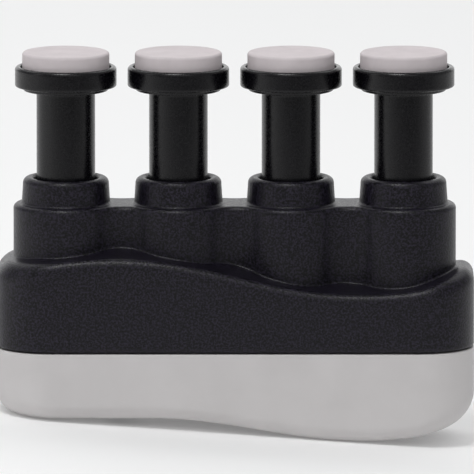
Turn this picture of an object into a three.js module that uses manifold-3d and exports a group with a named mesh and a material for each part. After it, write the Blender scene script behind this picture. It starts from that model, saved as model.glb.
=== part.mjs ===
// Finger exerciser: four sprung plungers in one hand-held body.
// Millimetres, +Z up along the plungers, +X across the four fingers, -Y is the front.
// The origin is under the middle of the body, level with the lowest point of the palm rest.
import * as THREE from "three";
import { mergeVertices } from "three/addons/utils/BufferGeometryUtils.js";
import Module from "manifold-3d";

const wasm = await Module();
wasm.setup();

// ---- Clearances ----
const restGap = 0.3; // between pieces that touch or seat on each other
const runGap = 0.3; // between sliding pieces, on each side

// ---- Finger pads and tension dials ----
const fingerCount = 4;
const padRadius = 7.55;
const padHeight = 3;
const padEdgeRadius = 0.5;
const padDish = 0.25;
const dialRim = 1.25; // the dial's width beyond the pad
const dialSpacing = 1.9; // air between neighbouring dials
const dialHeight = 3.5;
const dialReveal = 0.7; // how much of the plunger's flange shows below the dial
const dialSkirt = 1.1; // wall of the dial round the flange
const dialFloor = 1.7;
const dialEdgeRadius = 0.6;
const dialChamfer = 0.3;

// ---- Plungers ----
const tubeRadius = 5.075;
const tubeWall = 1.2;
const tubeEndWall = 2.2;
const plungerReach = 15.2; // tube showing between the collar and the flange
const stopGap = 0.7; // left of it when the plunger is fully in
const flangeHeight = 1.4;
const pistonHeight = 1.8; // the ring of the tube that runs in the lobe's chamber
const guideKeyWidth = 2;
const guideKeyReach = 1.2; // out of the piston's edge
const postClearance = 1.6; // from the pressed tube down to the spring's post

// ---- Collars and the scalloped block ----
const collarGap = 0.525; // round the tube
const collarWall = 1.8;
const collarDraft = 0.35;
const collarHeight = 4.5;
const collarEdgeRadius = 1.1;
const boreEdge = 0.5;
const collarStep = 1.7; // from the collar out to the edge of its lobe
const valleyHalfDepth = 5.4;
const blockRise = 8; // above the crest of the shelf
const blockEdgeRadius = 1.2;
const chamberWall = 1.7; // round the piston's chamber, at the lobes
const roofWall = 2; // over the chamber

// ---- Body ----
const bodyDepth = 26;
const endShelf = 3.15; // from the block out to the ends of the body
const bodyCornerRadius = 9.75; // vertical corners, seen from above
const seamZ = 15.7; // where the black casing meets the grey palm rest
const casingWall = 2;
const floorWall = 2.4; // of the palm rest
const lipWall = 1.2;
const lipHeight = 2;

// ---- Wave shelf: heights above the seam, from the left end to the right end ----
const leftEndRise = 13.6;
const crestRise = 16.5;
const troughRise = 10.3;
const rightEndRise = 13.7;
const crestX = -20.5;
const troughX = 21;
const shelfBow = 0.0235; // rise towards the block, per square millimetre
const shelfEdgeRadius = 1.5;
const shoulderRadius = 2.6; // the same edge, round the two ends
const shoulderRise = 0.8; // of the shelf above the wave there

// ---- Palm contour on the underside ----
const footZ = 4; // the level foot at the left
const footEndX = -14;
const bulgeX = 21.9; // lowest point of the palm bulge
const bulgeRadius = 61; // of the rise from the bulge to the right end
const palmEdgeRadius = 2.6;
const heelRadius = 4.6; // the same edge, round the two ends

// ---- Tension screws, nuts and springs ----
const threadRadius = 2.25;
const threadDepth = 0.45;
const threadPitch = 2;
const screwCollarRadius = 3.3; // bears under the tube's end wall
const screwCollarHeight = 1.2;
const neckWidth = 3; // square end that turns with the dial
const neckShort = 0.2; // from its end up to the dial's floor
const nutHeight = 4;
const nutTravel = 11;
const nutKeyWidth = 1.6;
const nutKeyReach = 0.7;
const wireRadius = 0.4;
const springTurns = 9;
const seatZ = 10; // top of the spring's post in the palm rest
const postRadius = 4.2;
const pinHeight = 3;

// ---- Casing screws ----
const shankRadius = 1.3;
const screwLength = 12;
const screwHeadRadius = 2.5;
const screwHeadHeight = 1.8;
const headBevel = 0.75;
const crossSpan = 3; // the two slots of its cross recess
const crossWidth = 0.6;
const crossDepth = 1;
const tipTaper = 1;
const screwSeatDepth = 6.3; // below the seam
const bossWall = 1.2;

// ---- Smoothness of the round stretches ----
const roundSegments = 24;
const smallSegments = 16;
const coilSegments = 8;
const cornerSteps = 5;
const sideSteps = 14;
const lobeSteps = 5;
const endLobeSteps = 8;
const valleySteps = 4;

// ---- Sizes that follow ----
const dialRadius = padRadius + dialRim;
const flangeRadius = dialRadius - dialSkirt - runGap;
const fingerPitch = 2 * dialRadius + dialSpacing;
const collarBoreRadius = tubeRadius + collarGap;
const collarRadius = collarBoreRadius + collarWall;
const lobeRadius = collarRadius + collarStep;
const blockHalfLength = ((fingerCount - 1) / 2) * fingerPitch + lobeRadius;
const bodyLength = 2 * (blockHalfLength + endShelf);
const seamTopZ = seamZ + restGap / 2;
const seamBottomZ = seamZ - restGap / 2;
const crestZ = seamZ + crestRise;
const troughZ = seamZ + troughRise;
const blockTopZ = crestZ + blockRise;
const collarTopZ = blockTopZ + collarHeight;
const flangeBottomZ = collarTopZ + plungerReach;
const stroke = plungerReach - stopGap;
const lipInset = casingWall + restGap;
const chamberRadius = lobeRadius - chamberWall;
const chamberTopZ = blockTopZ - roofWall;
const pistonRadius = chamberRadius - runGap;
const pistonTopZ = chamberTopZ - restGap;
const pistonBottomZ = pistonTopZ - pistonHeight;
const bossRadius = shankRadius + restGap + bossWall;
const screwSeatZ = seamZ - screwSeatDepth;
const screwTipZ = screwSeatZ - restGap + screwLength;
const screwY = bodyDepth / 2 - lipInset - lipWall - restGap - bossRadius; // bosses clear the lip
const tubeBore = tubeRadius - tubeWall;
const flangeTopZ = flangeBottomZ + flangeHeight;
const tubeEndZ = flangeTopZ - tubeEndWall;
const tubeBottomZ = seatZ + postClearance + stroke;
const neckHole = neckWidth * Math.SQRT1_2 + runGap;
const nutRadius = tubeBore - runGap;
const nutKeySpan = 2 * (nutRadius + nutKeyReach);
const coilRadius = tubeBore - runGap - wireRadius;
const collarUnderZ = tubeEndZ - restGap;
const threadTopZ = collarUnderZ - screwCollarHeight;
const nutTopZ = threadTopZ - restGap - nutTravel; // screwed right down, spring at its tightest
const nutBottomZ = nutTopZ - nutHeight;
const threadBottomZ = nutBottomZ - restGap;
const dialBottomZ = flangeBottomZ + dialReveal;
const dialTopZ = dialBottomZ + dialHeight;
const dialCeilingZ = flangeTopZ + restGap;
const dialFloorZ = dialCeilingZ + dialFloor;

const fingerX = (n) => (n - (fingerCount - 1) / 2) * fingerPitch;
const towardsMiddle = (n) => (fingerX(n) < 0 ? 1 : -1);
const ease = (t) => (1 - Math.cos(Math.PI * t)) / 2;

// Height of the shelf's outer edge at x.
function waveZ(x) {
  const half = bodyLength / 2;
  if (x < crestX) {
    const t = (crestX - x) / (crestX + half);
    return crestZ + (leftEndRise - crestRise) * t ** 2;
  }
  if (x > troughX) {
    const t = (x - troughX) / (half - troughX);
    return troughZ + (rightEndRise - troughRise) * t ** 2.5;
  }
  return crestZ + (troughZ - crestZ) * ease((x - crestX) / (troughX - crestX));
}

// Height of the underside at x: a level foot, a long ease down and the bulge's arc.
function palmZ(x) {
  if (x < footEndX) return footZ;
  if (x < bulgeX) return footZ * (1 - ease((x - footEndX) / (bulgeX - footEndX)));
  return (x - bulgeX) ** 2 / (2 * bulgeRadius);
}

// An arc of points about a centre, without its last point.
function arc(cx, cy, radius, from, to, steps) {
  const points = [];
  for (let i = 0; i < steps; i++) {
    const a = THREE.MathUtils.degToRad(from + ((to - from) * i) / steps);
    points.push(new THREE.Vector2(cx + radius * Math.cos(a), cy + radius * Math.sin(a)));
  }
  return points;
}

// Straight stretch between two x values at one y, without its last point.
function run(fromX, toX, y, steps) {
  const points = [];
  for (let i = 0; i < steps; i++) {
    points.push(new THREE.Vector2(fromX + ((toX - fromX) * i) / steps, y));
  }
  return points;
}

// The body's outline from above, moved in by an inset. Points run anticlockwise.
function bodyOutline(inset) {
  const cx = bodyLength / 2 - bodyCornerRadius;
  const cy = bodyDepth / 2 - bodyCornerRadius;
  const r = bodyCornerRadius - inset;
  return [
    ...arc(cx, -cy, r, -90, 0, cornerSteps),
    ...arc(cx, cy, r, 0, 90, cornerSteps),
    ...run(cx, -cx, cy + r, sideSteps),
    ...arc(-cx, cy, r, 90, 180, cornerSteps),
    ...arc(-cx, -cy, r, 180, 270, cornerSteps),
    ...run(-cx, cx, -cy - r, sideSteps),
  ];
}

// The block's outline: a lobe round each plunger, joined by tangent valleys.
function blockOutline(inset) {
  const half = fingerPitch / 2;
  const valleyRadius =
    (half ** 2 + valleyHalfDepth ** 2 - lobeRadius ** 2) / (2 * (lobeRadius - valleyHalfDepth));
  const valleyY = valleyHalfDepth + valleyRadius;
  const turn = THREE.MathUtils.radToDeg(Math.atan2(valleyY, half));
  const lobe = lobeRadius - inset;
  const valley = valleyRadius + inset;
  const points = [];
  for (const side of [-1, 1]) {
    for (let i = 0; i < fingerCount; i++) {
      const x = side * -fingerX(i);
      const from = side < 0 ? -180 + turn : turn;
      const first = i === 0 ? (side < 0 ? -180 : 0) : from;
      const last = i === fingerCount - 1 ? (side < 0 ? 0 : 180) : side < 0 ? -turn : 180 - turn;
      const steps = i % (fingerCount - 1) === 0 ? endLobeSteps : lobeSteps;
      points.push(...arc(x, 0, lobe, first, last, steps));
      if (i < fingerCount - 1) {
        const start = side < 0 ? 180 - turn : -turn;
        const end = side < 0 ? turn : turn - 180;
        points.push(...arc(x - side * half, side * valleyY, valley, start, end, valleySteps));
      }
    }
  }
  return points;
}

// Triangles across a ring that is the same in front as behind, seen from above.
function acrossRing(ring) {
  const count = ring.length;
  const tip = ring.reduce((best, p, i) => (p.x > ring[best].x ? i : best), 0);
  const at = (i) => (tip + i + count) % count;
  const triangles = [[at(0), at(1), at(-1)]];
  for (let i = 1; i < count / 2; i++) {
    triangles.push([at(-i), at(i), at(i + 1)]);
    if (i + 1 < count / 2) triangles.push([at(-i), at(i + 1), at(-i - 1)]);
  }
  return triangles;
}

// A closed solid through rings of the same count, lowest first, capped at both ends.
function loft(rings) {
  const count = rings[0].length;
  const positions = rings.flat().flatMap((p) => [p.x, p.y, p.z]);
  const index = [];
  for (let k = 0; k < rings.length - 1; k++) {
    for (let i = 0; i < count; i++) {
      const j = (i + 1) % count;
      const [a, b] = [k * count + i, k * count + j];
      index.push(a, b, b + count, a, b + count, a + count);
    }
  }
  const top = (rings.length - 1) * count;
  for (const [a, b, c] of acrossRing(rings[0])) {
    index.push(a, c, b);
    index.push(top + a, top + b, top + c);
  }
  const geometry = new THREE.BufferGeometry();
  geometry.setAttribute("position", new THREE.Float32BufferAttribute(positions, 3));
  geometry.setIndex(index);
  return geometry;
}

// Gives an outline its height, from a number or from a function of the point.
function lift(outline, height) {
  const heightAt = typeof height === "number" ? () => height : height;
  return outline.map((p) => new THREE.Vector3(p.x, p.y, heightAt(p)));
}

// A turned solid about the Z axis, from [radius, z] pairs that start and end on the axis.
function turned(profile, segments = roundSegments) {
  const points = profile.map(([r, z]) => new THREE.Vector2(r, z));
  return new THREE.LatheGeometry(points, segments).rotateX(Math.PI / 2);
}

// Quarter-round corner of a turned profile, between a wall and a face.
function corner(r, z, radius, from, steps = 2) {
  const points = [];
  for (let i = 0; i <= steps; i++) {
    const a = THREE.MathUtils.degToRad(from + (90 * i) / steps);
    points.push([r + radius * Math.cos(a), z + radius * Math.sin(a)]);
  }
  return points;
}

function rod(radius, fromZ, toZ, segments = smallSegments) {
  const height = toZ - fromZ;
  return new THREE.CylinderGeometry(radius, radius, height, segments)
    .rotateX(Math.PI / 2)
    .translate(0, 0, fromZ + height / 2);
}

function block(width, depth, fromZ, toZ, x = 0, y = 0) {
  return new THREE.BoxGeometry(width, depth, toZ - fromZ).translate(x, y, (fromZ + toZ) / 2);
}

function solid(geometry, x = 0, y = 0) {
  const bare = geometry.clone().translate(x, y, 0);
  bare.deleteAttribute("normal");
  bare.deleteAttribute("uv");
  const merged = mergeVertices(bare, 1e-4);
  return new wasm.Manifold(
    new wasm.Mesh({
      numProp: 3,
      vertProperties: merged.attributes.position.array,
      triVerts: merged.index.array,
    }),
  );
}

function geometryOf(manifold) {
  const mesh = manifold.getMesh();
  const geometry = new THREE.BufferGeometry();
  geometry.setAttribute("position", new THREE.BufferAttribute(mesh.vertProperties, 3));
  geometry.setIndex(new THREE.BufferAttribute(mesh.triVerts, 1));
  geometry.computeVertexNormals();
  return geometry;
}

// How far a point lies round one of the two ends, from 0 on the straight sides to 1 at the tip.
function endShare(p) {
  const past = Math.abs(p.x) - (bodyLength / 2 - bodyCornerRadius);
  return Math.min(Math.max(past / bodyCornerRadius, 0), 1);
}

// The body's outline with its edge rolled in by an angle: 0 is the wall, 90 the flat.
function rolledOutline(angle, sideRadius, endRadius) {
  const roll = 1 - Math.cos(THREE.MathUtils.degToRad(angle));
  const outer = bodyOutline(0);
  const inner = bodyOutline(1);
  return outer.map((p, i) => {
    const radius = THREE.MathUtils.lerp(sideRadius, endRadius, endShare(p));
    const moved = p.clone().lerp(inner[i], radius * roll);
    moved.share = endShare(p);
    moved.drop = radius * (1 - Math.sin(THREE.MathUtils.degToRad(angle)));
    return moved;
  });
}

// ---- Pieces of the body ----
const screwPlaces = [-fingerPitch, fingerPitch].flatMap((x) => [
  [x, -screwY],
  [x, screwY],
]);

function topCasing() {
  const edge = [0, 30, 60, 90].map((angle) => {
    const rise = shoulderRise * Math.sin(THREE.MathUtils.degToRad(angle));
    const outline = rolledOutline(angle, shelfEdgeRadius, shoulderRadius);
    return lift(outline, (p) => waveZ(p.x) - p.drop + rise * p.share);
  });
  const shelf = [0.4, 0.7, 1].map((t) =>
    edge[3].map((p) => {
      const x = THREE.MathUtils.lerp(p.x, (p.x * (blockHalfLength - 1)) / (bodyLength / 2), t);
      const y = THREE.MathUtils.lerp(p.y, (p.y * (valleyHalfDepth - 1)) / (bodyDepth / 2), t);
      const inward = Math.hypot(p.x - x, p.y - y);
      return new THREE.Vector3(x, y, p.z - waveZ(p.x) + waveZ(x) + shelfBow * inward ** 2);
    }),
  );
  let casing = solid(loft([lift(bodyOutline(0), seamTopZ), ...edge, ...shelf]));

  const blockRings = [lift(blockOutline(0), seamTopZ)];
  for (const angle of [0, 30, 60, 90]) {
    const a = THREE.MathUtils.degToRad(angle);
    const z = blockTopZ - blockEdgeRadius * (1 - Math.sin(a));
    blockRings.push(lift(blockOutline(blockEdgeRadius * (1 - Math.cos(a))), z));
  }
  const blockSolid = solid(loft(blockRings));
  casing = casing.add(blockSolid);

  const pocket = loft([
    lift(bodyOutline(casingWall), seamZ - 1),
    lift(bodyOutline(casingWall), (p) => waveZ(p.x) - casingWall),
  ]);
  const core = loft([
    lift(blockOutline(0), troughZ - casingWall),
    lift(blockOutline(0), blockTopZ + 1),
  ]);
  casing = casing.subtract(solid(pocket).subtract(solid(core)));

  for (const [x, y] of screwPlaces) {
    casing = casing.add(solid(rod(bossRadius, seamTopZ, waveZ(x) - casingWall / 2), x, y));
    casing = casing.subtract(solid(rod(shankRadius + restGap, seamZ - 1, screwTipZ + 1), x, y));
  }

  const collar = turned([
    [0, blockTopZ - roofWall / 2],
    [collarRadius + collarDraft, blockTopZ - roofWall / 2],
    [collarRadius + collarDraft, blockTopZ],
    ...corner(collarRadius - collarEdgeRadius, collarTopZ - collarEdgeRadius, collarEdgeRadius, 0),
    [0, collarTopZ],
  ]);
  const bore = turned([
    [0, chamberTopZ - 1],
    [collarBoreRadius, chamberTopZ - 1],
    [collarBoreRadius, collarTopZ - boreEdge],
    [collarBoreRadius + boreEdge, collarTopZ],
    [collarBoreRadius + boreEdge, collarTopZ + 1],
    [0, collarTopZ + 1],
  ]);
  for (let n = 0; n < fingerCount; n++) {
    const x = fingerX(n);
    const length = pistonRadius + guideKeyReach + runGap;
    const middle = (towardsMiddle(n) * length) / 2;
    const keySlot = block(length, guideKeyWidth + 2 * runGap, seamZ, chamberTopZ, middle);
    casing = casing
      .add(solid(collar, x))
      .subtract(solid(rod(chamberRadius, seamZ, chamberTopZ, roundSegments), x))
      .subtract(solid(keySlot, x))
      .subtract(solid(bore, x));
  }
  return geometryOf(casing);
}

function palmRest() {
  const edge = [90, 60, 30, 0].map((angle) =>
    lift(rolledOutline(angle, palmEdgeRadius, heelRadius), (p) => palmZ(p.x) + p.drop),
  );
  const whole = solid(loft([...edge, lift(bodyOutline(0), seamBottomZ)]));
  const lip = loft([
    lift(bodyOutline(lipInset), seamZ - lipHeight),
    lift(bodyOutline(lipInset), seamZ + lipHeight),
  ]);
  let rest = whole.add(solid(lip));
  const mouth = lipInset + lipWall; // of the hollow
  const inside = [
    lift(bodyOutline(heelRadius), (p) => palmZ(p.x) + floorWall),
    lift(bodyOutline(mouth), (p) => palmZ(p.x) + floorWall + heelRadius - mouth),
    lift(bodyOutline(mouth), seamZ + lipHeight + 1),
  ];
  rest = rest.subtract(solid(loft(inside)));

  const pinRadius = coilRadius - wireRadius - runGap;
  const post = turned(
    [
      [0, 1],
      [postRadius, 1],
      [postRadius, seatZ],
      [pinRadius, seatZ],
      [pinRadius, seatZ + pinHeight],
      [0, seatZ + pinHeight],
    ],
    smallSegments,
  );
  for (let n = 0; n < fingerCount; n++) {
    rest = rest.add(solid(post, fingerX(n)).intersect(whole));
  }
  for (const [x, y] of screwPlaces) {
    const pillar = solid(rod(screwHeadRadius + restGap + bossWall, 0, seamBottomZ), x, y);
    rest = rest
      .add(pillar.intersect(whole))
      .subtract(solid(rod(shankRadius + restGap, -1, seamZ), x, y))
      .subtract(solid(rod(screwHeadRadius + restGap, -1, screwSeatZ), x, y));
  }
  return geometryOf(rest);
}

// Pan-head screw driven upwards from the underside, with a cross recess.
function casingScrew() {
  const seat = screwSeatZ - restGap;
  const headZ = seat - screwHeadHeight;
  const body = turned(
    [
      [0, headZ],
      [screwHeadRadius - headBevel, headZ],
      [screwHeadRadius, headZ + headBevel],
      [screwHeadRadius, seat],
      [shankRadius, seat],
      [shankRadius, screwTipZ - tipTaper],
      [shankRadius / 2, screwTipZ],
      [0, screwTipZ],
    ],
    12,
  );
  return geometryOf(
    solid(body)
      .subtract(solid(block(crossSpan, crossWidth, headZ - 1, headZ + crossDepth)))
      .subtract(solid(block(crossWidth, crossSpan, headZ - 1, headZ + crossDepth))),
  );
}

// ---- Pieces of one finger, about its own axis ----
function plunger() {
  const shell = turned([
    [0, tubeBottomZ],
    [tubeRadius, tubeBottomZ],
    [tubeRadius, pistonBottomZ],
    [pistonRadius, pistonBottomZ],
    [pistonRadius, pistonTopZ],
    [tubeRadius, pistonTopZ],
    [tubeRadius, flangeBottomZ],
    [flangeRadius, flangeBottomZ],
    [flangeRadius, flangeTopZ],
    [0, flangeTopZ],
  ]);
  const reach = pistonRadius + guideKeyReach;
  const key = block(reach, guideKeyWidth, pistonBottomZ, pistonTopZ, reach / 2);
  const play = 2 * runGap;
  const keyway = block(nutKeyWidth + play, nutKeySpan + play, tubeBottomZ - 1, tubeEndZ);
  return geometryOf(
    solid(shell)
      .add(solid(key))
      .subtract(solid(rod(tubeBore, tubeBottomZ - 1, tubeEndZ)))
      .subtract(solid(keyway))
      .subtract(solid(rod(neckHole, tubeEndZ - 1, flangeTopZ + 1))),
  );
}

function tensionDial() {
  const rimInner = padRadius + restGap;
  const lip = dialRadius - dialEdgeRadius;
  const shell = turned([
    [0, dialCeilingZ],
    [flangeRadius + runGap, dialCeilingZ],
    [flangeRadius + runGap, dialBottomZ],
    [dialRadius - dialChamfer, dialBottomZ],
    [dialRadius, dialBottomZ + dialChamfer],
    ...corner(lip, dialTopZ - dialEdgeRadius, dialEdgeRadius, 0),
    [rimInner, dialFloorZ],
    [0, dialFloorZ],
  ]);
  const width = neckWidth + 2 * restGap;
  const socket = block(width, width, dialCeilingZ - 1, dialFloorZ + 1);
  return geometryOf(solid(shell).subtract(solid(socket)));
}

function fingerPad() {
  const bottom = dialFloorZ + restGap;
  const top = bottom + padHeight;
  return turned([
    [0, bottom],
    [padRadius, bottom],
    ...corner(padRadius - padEdgeRadius, top - padEdgeRadius, padEdgeRadius, 0),
    [padRadius - 3 * padEdgeRadius, top - padDish],
    [0, top - padDish],
  ]);
}

function tensionScrew() {
  const rings = [];
  const root = threadRadius - threadDepth;
  const turns = Math.floor((threadTopZ - threadBottomZ) / threadPitch);
  for (let i = 0; i < turns; i++) {
    const z = threadBottomZ + i * threadPitch;
    rings.push([root, z], [threadRadius, z + threadPitch / 2]);
  }
  const screw = turned(
    [
      [0, threadBottomZ],
      ...rings,
      [root, threadTopZ],
      [screwCollarRadius, threadTopZ],
      [screwCollarRadius, collarUnderZ],
      [0, collarUnderZ],
    ],
    12,
  );
  const neck = block(neckWidth, neckWidth, collarUnderZ - 1, dialFloorZ - neckShort);
  return geometryOf(solid(screw).add(solid(neck)));
}

function tensionNut() {
  const keys = block(nutKeyWidth, nutKeySpan, nutBottomZ, nutTopZ);
  return geometryOf(
    solid(rod(nutRadius, nutBottomZ, nutTopZ))
      .add(solid(keys))
      .subtract(solid(rod(threadRadius + restGap, nutBottomZ - 1, nutTopZ + 1))),
  );
}

// Coil spring between the palm rest's post and the nut.
class Helix extends THREE.Curve {
  getPoint(t, target = new THREE.Vector3()) {
    const a = t * springTurns * 2 * Math.PI;
    const low = seatZ + restGap + wireRadius;
    const high = nutBottomZ - restGap - wireRadius;
    return target.set(coilRadius * Math.cos(a), coilRadius * Math.sin(a), low + (high - low) * t);
  }
}

function spring() {
  const wire = new THREE.Shape(arc(0, 0, wireRadius, 45, 405, 4));
  const steps = springTurns * coilSegments;
  return new THREE.ExtrudeGeometry(wire, { steps, extrudePath: new Helix() });
}

// ---- Finishes ----
function finish(color, roughness, metalness = 0) {
  return new THREE.MeshStandardMaterial({ color, roughness, metalness });
}

const casingBlack = () => finish(0x252427, 0.55);
const tubeBlack = () => finish(0x1c1c1f, 0.35);
const palmGrey = () => finish(0xb7b5b6, 0.6);
const padGrey = () => finish(0xccc4c5, 0.75);
const steel = () => finish(0x9a9da1, 0.3, 1);
const nutWhite = () => finish(0xe3e0d8, 0.5);

function piece(name, geometry, material) {
  const mesh = new THREE.Mesh(geometry, material);
  mesh.name = name;
  return mesh;
}

// ---- Assembly ----
const group = new THREE.Group();
group.add(piece("top_casing", topCasing(), casingBlack()));
group.add(piece("palm_rest", palmRest(), palmGrey()));

const casingScrewShape = casingScrew();
screwPlaces.forEach(([x, y], i) => {
  const screw = piece(`casing_screw_${i + 1}`, casingScrewShape, steel());
  screw.position.set(x, y, 0);
  group.add(screw);
});

const fingerPieces = [
  ["plunger", plunger(), tubeBlack],
  ["tension_dial", tensionDial(), tubeBlack],
  ["finger_pad", fingerPad(), padGrey],
  ["tension_screw", tensionScrew(), steel],
  ["tension_nut", tensionNut(), nutWhite],
  ["return_spring", spring(), steel],
];
for (let n = 0; n < fingerCount; n++) {
  const finger = new THREE.Group();
  finger.position.set(fingerX(n), 0, 0);
  for (const [name, geometry, material] of fingerPieces) {
    const mesh = piece(`${name}_${n + 1}`, geometry, material());
    if (name === "plunger" && towardsMiddle(n) < 0) mesh.rotation.z = Math.PI;
    finger.add(mesh);
  }
  group.add(finger);
}

export default group;
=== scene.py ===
# %% [markdown]
# # Finger exerciser
#
# A hand trainer for four fingers: four sprung plungers stand side by side in a black casing,
# and a grey palm rest closes the casing from below. This script builds what the eye sees of it,
# piece by piece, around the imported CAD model, and lights it in a small studio.
# Every length below is in millimetres, as on a drawing, and becomes metres on the way into a mesh.

import math

import bmesh
import bpy
import numpy as np
from mathutils import Matrix, Vector


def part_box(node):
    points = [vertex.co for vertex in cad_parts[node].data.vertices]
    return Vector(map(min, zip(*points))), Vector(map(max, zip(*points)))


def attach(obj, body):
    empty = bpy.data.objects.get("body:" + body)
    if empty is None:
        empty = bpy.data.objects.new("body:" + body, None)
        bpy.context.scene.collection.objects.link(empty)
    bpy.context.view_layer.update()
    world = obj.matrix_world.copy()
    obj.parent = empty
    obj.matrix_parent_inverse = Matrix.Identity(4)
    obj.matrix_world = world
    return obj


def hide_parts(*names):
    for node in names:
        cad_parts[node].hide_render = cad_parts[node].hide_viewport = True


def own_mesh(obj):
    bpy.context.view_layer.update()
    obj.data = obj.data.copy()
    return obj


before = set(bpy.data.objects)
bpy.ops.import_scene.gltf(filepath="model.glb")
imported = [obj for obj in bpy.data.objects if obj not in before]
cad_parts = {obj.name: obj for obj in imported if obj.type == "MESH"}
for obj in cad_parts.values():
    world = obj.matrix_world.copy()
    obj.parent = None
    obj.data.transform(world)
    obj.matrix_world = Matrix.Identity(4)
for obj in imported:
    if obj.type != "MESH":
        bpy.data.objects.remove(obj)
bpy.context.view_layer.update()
scene = bpy.context.scene
MM = 0.001

# %% [markdown]
# ## Main sizes
#
# The visual pieces repeat the sizes of the CAD pieces, so they share walls, gaps and axes with them.
# It is easier to keep the two models in step when each size has one name and one place.

# %% Main sizes in millimetres
FINGERS = 4
PITCH = 19.5
HALF_LENGTH, HALF_DEPTH = 41.5, 13.0
CORNER = 9.75
SEAM_TOP, SEAM_BOTTOM, SEAM_EASE = 15.85, 15.55, 0.25
EDGE_SIDE, EDGE_END = 1.5, 2.6
HEEL_SIDE, HEEL_END = 2.6, 4.6
CREST_Z, TROUGH_Z, LEFT_Z, RIGHT_Z = 32.2, 26.0, 29.3, 29.4
CREST_X, TROUGH_X = -20.5, 21.0
SHELF_BOW = 0.0235
SHOULDER_RISE = 0.8
LOBE, VALLEY_HALF = 9.1, 5.4
FOOT_FILLET = 0.35
BLOCK_TOP, BLOCK_EDGE = 40.2, 0.9
COLLAR_TOP, COLLAR, COLLAR_FOOT, BORE = 44.7, 7.4, 7.75, 5.6
CHAMBER, CHAMBER_TOP = 7.4, 38.2
KEY_SLOT_HALF, KEY_SLOT_REACH = 1.6, 8.6
CASING_WALL = 2.0
BLOCK_UNDERSIDE = TROUGH_Z - CASING_WALL
FOOT_Z, FOOT_END, BULGE_X, BULGE_R = 4.0, -14.0, 21.9, 61.0
LIP_OUTSIDE, LIP_INSIDE, LIP_TOP = 2.3, 3.5, SEAM_TOP + 1.85
REST_FLOOR, REST_EDGE = 2.4, 0.35
SCREW_X, SCREW_Y = 19.5, 6.4
SCREWS = [(x, y) for x in (-SCREW_X, SCREW_X) for y in (-SCREW_Y, SCREW_Y)]
WELL, WELL_TOP, WELL_EDGE, HOLE, BOSS = 2.8, 9.4, 0.25, 1.6, 2.8
TUBE, TUBE_BORE, TUBE_BOTTOM = 5.075, 3.875, 26.1
FLANGE, FLANGE_BOTTOM, FLANGE_TOP = 7.4, 59.9, 61.3
DIAL, DIAL_BOTTOM, DIAL_TOP, DIAL_FLOOR = 8.8, 60.6, 64.1, 63.3
PAD, PAD_BOTTOM, PAD_TOP = 7.55, 63.6, 66.6
finger_x = [(n - (FINGERS - 1) / 2) * PITCH for n in range(FINGERS)]
low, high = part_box("top_casing")
print("casing:", [round(v / MM, 2) for v in (high - low)], "mm")

# %% [markdown]
# ## Small tools
#
# A few helpers do the repeated work. One turns an sRGB hex colour into linear values, because
# Blender's shaders mix light in linear units while colour charts are written in sRGB. One adds a
# shader or geometry node with its settings and links. The rest turn rings of points into a mesh.


# %% Colours, nodes and objects
def hex_colour(text):
    channels = [int(text[i : i + 2], 16) / 255 for i in (1, 3, 5)]
    linear = [c / 12.92 if c <= 0.04045 else ((c + 0.055) / 1.055) ** 2.4 for c in channels]
    return (*linear, 1.0)


def add_node(tree, kind, settings=None, inputs=None):
    """Adds one node, sets its properties, and fills or links its inputs by name or number."""
    made = tree.nodes.new(kind)
    for name, value in (settings or {}).items():
        setattr(made, name, value)
    for key, value in (inputs or {}).items():
        socket = made.inputs[key]
        if isinstance(value, bpy.types.NodeSocket):
            tree.links.new(value, socket)
        else:
            socket.default_value = value
    return made


def new_object(name, mesh):
    made = bpy.data.objects.new(name, mesh)
    scene.collection.objects.link(made)
    return made


print("mid grey in linear light:", round(hex_colour("#808080")[0], 3))


# %% Meshes from points
def tidy(mesh, sharp_degrees=38):
    """Welds doubles, points every face outwards and keeps only true corners sharp."""
    work = bmesh.new()
    work.from_mesh(mesh)
    bmesh.ops.remove_doubles(work, verts=work.verts, dist=2e-6)
    bmesh.ops.dissolve_degenerate(work, edges=work.edges, dist=1e-7)
    bmesh.ops.recalc_face_normals(work, faces=work.faces)
    for face in work.faces:
        face.smooth = True
    for edge in work.edges:
        if len(edge.link_faces) == 2:
            edge.smooth = edge.calc_face_angle(0) < math.radians(sharp_degrees)
    open_edges = sum(1 for edge in work.edges if len(edge.link_faces) != 2)
    work.to_mesh(mesh)
    work.free()
    return open_edges


def mesh_from(name, points, faces):
    mesh = bpy.data.meshes.new(name)
    mesh.from_pydata([tuple(c * MM for c in p) for p in points], [], faces)
    open_edges = tidy(mesh)
    print(f"{name}: {len(mesh.polygons)} faces, {open_edges} open edges")
    return mesh


# %% Rings, turned profiles and rounded corners
class Skin:
    """Collects closed rings of points and the strips of quads between them."""

    def __init__(self):
        self.points, self.faces = [], []

    def strip(self, rings):
        count = len(rings[0])
        first = len(self.points)
        for ring in rings:
            self.points.extend(ring)
        for k in range(len(rings) - 1):
            for i in range(count):
                j = (i + 1) % count
                a, b = first + k * count + i, first + k * count + j
                self.faces.append((a, b, b + count, a + count))

    def turn(self, profile, x=0.0, y=0.0, segments=96):
        """Spins a profile of (radius, z) pairs; a radius of 0 closes it on the axis."""
        angles = [2 * math.pi * i / segments for i in range(segments)]
        rings = [[(x + r * math.cos(a), y + r * math.sin(a), z) for a in angles] for r, z in profile]
        self.strip(rings)


def rounded(r, z, radius, start, steps=6):
    """Quarter-round of a profile about (r, z), from a start angle in degrees."""
    angles = [math.radians(start + 90 * i / steps) for i in range(steps + 1)]
    return [(r + radius * math.cos(a), z + radius * math.sin(a)) for a in angles]


def hollow(r, z, radius, start, steps=6):
    """Quarter-round fillet of a profile, run backwards."""
    return list(reversed(rounded(r, z, radius, start, steps)))


print("a 1 mm corner:", [(round(r, 2), round(z, 2)) for r, z in rounded(0, 0, 1.0, 0, 2)])

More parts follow.
